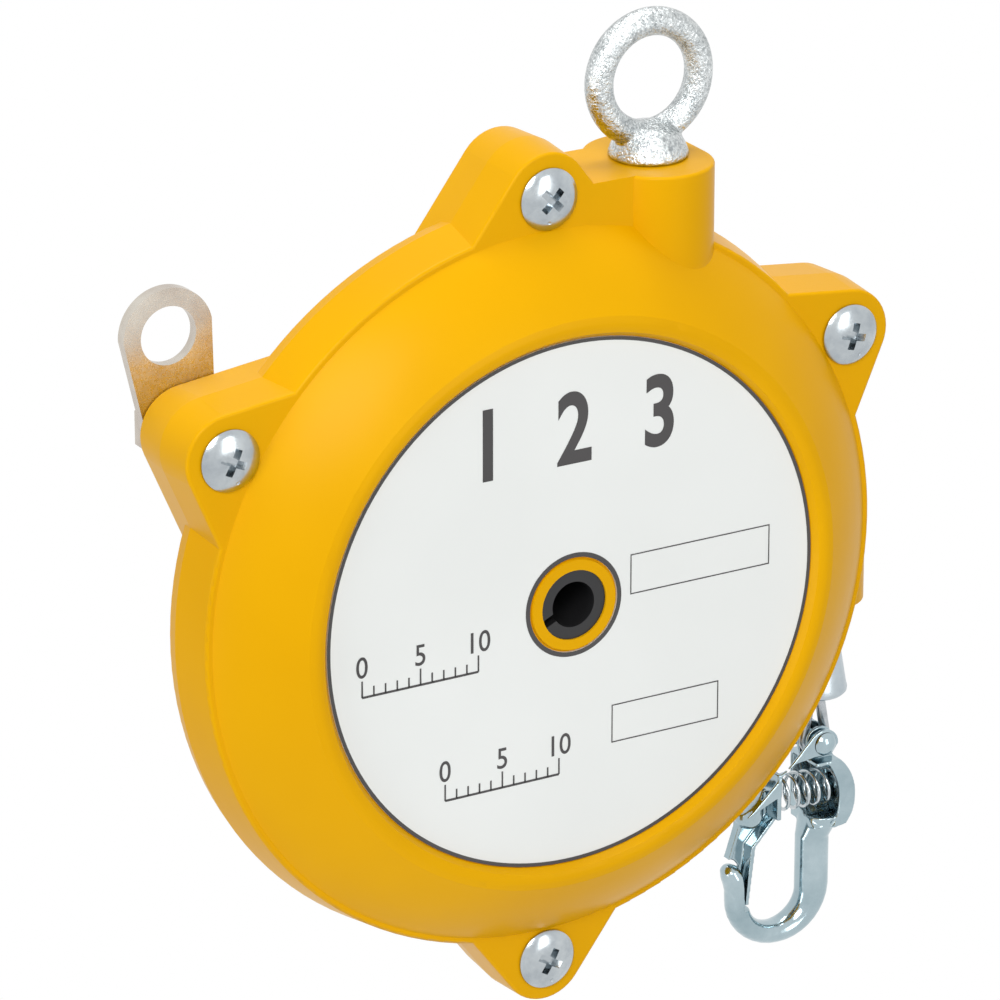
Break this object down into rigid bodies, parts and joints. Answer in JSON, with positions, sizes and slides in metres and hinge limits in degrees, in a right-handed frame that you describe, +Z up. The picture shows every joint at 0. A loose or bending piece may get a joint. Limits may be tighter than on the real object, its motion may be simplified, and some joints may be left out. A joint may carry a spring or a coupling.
{
  "type": "tool balancer",
  "caption": "Spring balancer: round two-shell case with a spring-driven cable drum, swivelling eyebolt, safety plate, cable and snap hook.",
  "frame": {"origin": "centre of the suspension eyebolt's ring, from which the balancer hangs", "axes": "+Z up, along the eyebolt's shank; -Y to the front, where the rating plate is; +X to the side where the cable leaves the case"},
  "size_m": [0.1502, 0.0399, 0.1928],
  "materials": {
    "case": "smooth glossy moulding",
    "plate": "satin printed plate",
    "bright_screws": "bright zinc plate",
    "zinc_nuts": "zinc plated",
    "warm_zinc": "passivated zinc plate",
    "zinc_eyebolt": "forged, zinc plated",
    "drum_casting": "as cast",
    "bush_bronze": "plain bearing bronze",
    "cover_steel": "rolled sheet",
    "spring_steel": "blued spring steel",
    "cable_steel": "galvanised wire rope",
    "arbor_black": "moulded",
    "guide_nylon": "moulded nylon",
    "stopper_zinc": "satin",
    "sleeve_alloy": "crimped",
    "hook_zinc": "bright zinc plate",
    "spring_bright": "bright wire"
  },
  "bodies": {
    "hanger": {"eyebolt": "zinc_eyebolt", "eye_washer": "zinc_nuts", "eye_nut": "zinc_nuts"},
    "housing": {"front_shell": "case", "back_shell": "case", "rating_plate": "plate", "case_screws": "bright_screws", "plate_screw": "bright_screws", "case_nuts": "zinc_nuts", "plate_nut": "zinc_nuts", "safety_plate": "warm_zinc", "guide_bush": "guide_nylon", "cable_lead": "cable_steel"},
    "drum": {"cable_drum": "drum_casting", "drum_bush": "bush_bronze", "spring_cover": "cover_steel", "mainspring": "spring_steel", "cable_turns": "cable_steel"},
    "arbor": {"tension_arbor": "arbor_black", "lock_washer": "zinc_nuts", "lock_nut": "zinc_nuts"},
    "cable_end": {"cable_run": "cable_steel", "stopper": "stopper_zinc", "crimp_sleeve": "sleeve_alloy", "cable_eye": "cable_steel"},
    "hook": {"hook_frame": "hook_zinc", "hook_rivet": "hook_zinc", "latch_spring": "spring_bright"},
    "latch": {"latch_lever": "hook_zinc"}
  },
  "joints": [
    {"name": "eye_swivel", "type": "hinge", "parent": "hanger", "child": "housing", "pos_m": [0, 0, 0], "axis": [0, 0, 1], "continuous": true},
    {"name": "drum_spin", "type": "hinge", "parent": "housing", "child": "drum", "pos_m": [-0.0265, 0, -0.091], "axis": [0, 1, 0], "range_deg": [0, 503.2], "stiffness_Nm_per_rad": 0.012, "springref_deg": -1432.39},
    {"name": "tension_adjust", "type": "hinge", "parent": "housing", "child": "arbor", "pos_m": [-0.0265, 0, -0.091], "axis": [0, 1, 0], "range_deg": [0, 1080]},
    {"name": "cable_travel", "type": "slide", "parent": "housing", "child": "cable_end", "axis": [0, 0, -1], "range_m": [0, 0.5016], "deforming": ["cable_run"]},
    {"name": "hook_swing", "type": "hinge", "parent": "cable_end", "child": "hook", "pos_m": [0.0385, 0, -0.1385], "axis": [0, 1, 0], "range_deg": [-60, 5]},
    {"name": "latch_open", "type": "hinge", "parent": "hook", "child": "latch", "pos_m": [0.0385, 0, -0.1385], "axis": [0, -1, 0], "range_deg": [0, 14], "stiffness_Nm_per_rad": 0.03, "springref_deg": -28.65, "deforming": ["latch_spring"]}
  ],
  "couplings": [
    {"joint": "cable_travel", "follows": "drum_spin", "m_per_rad": 0.057}
  ]
}
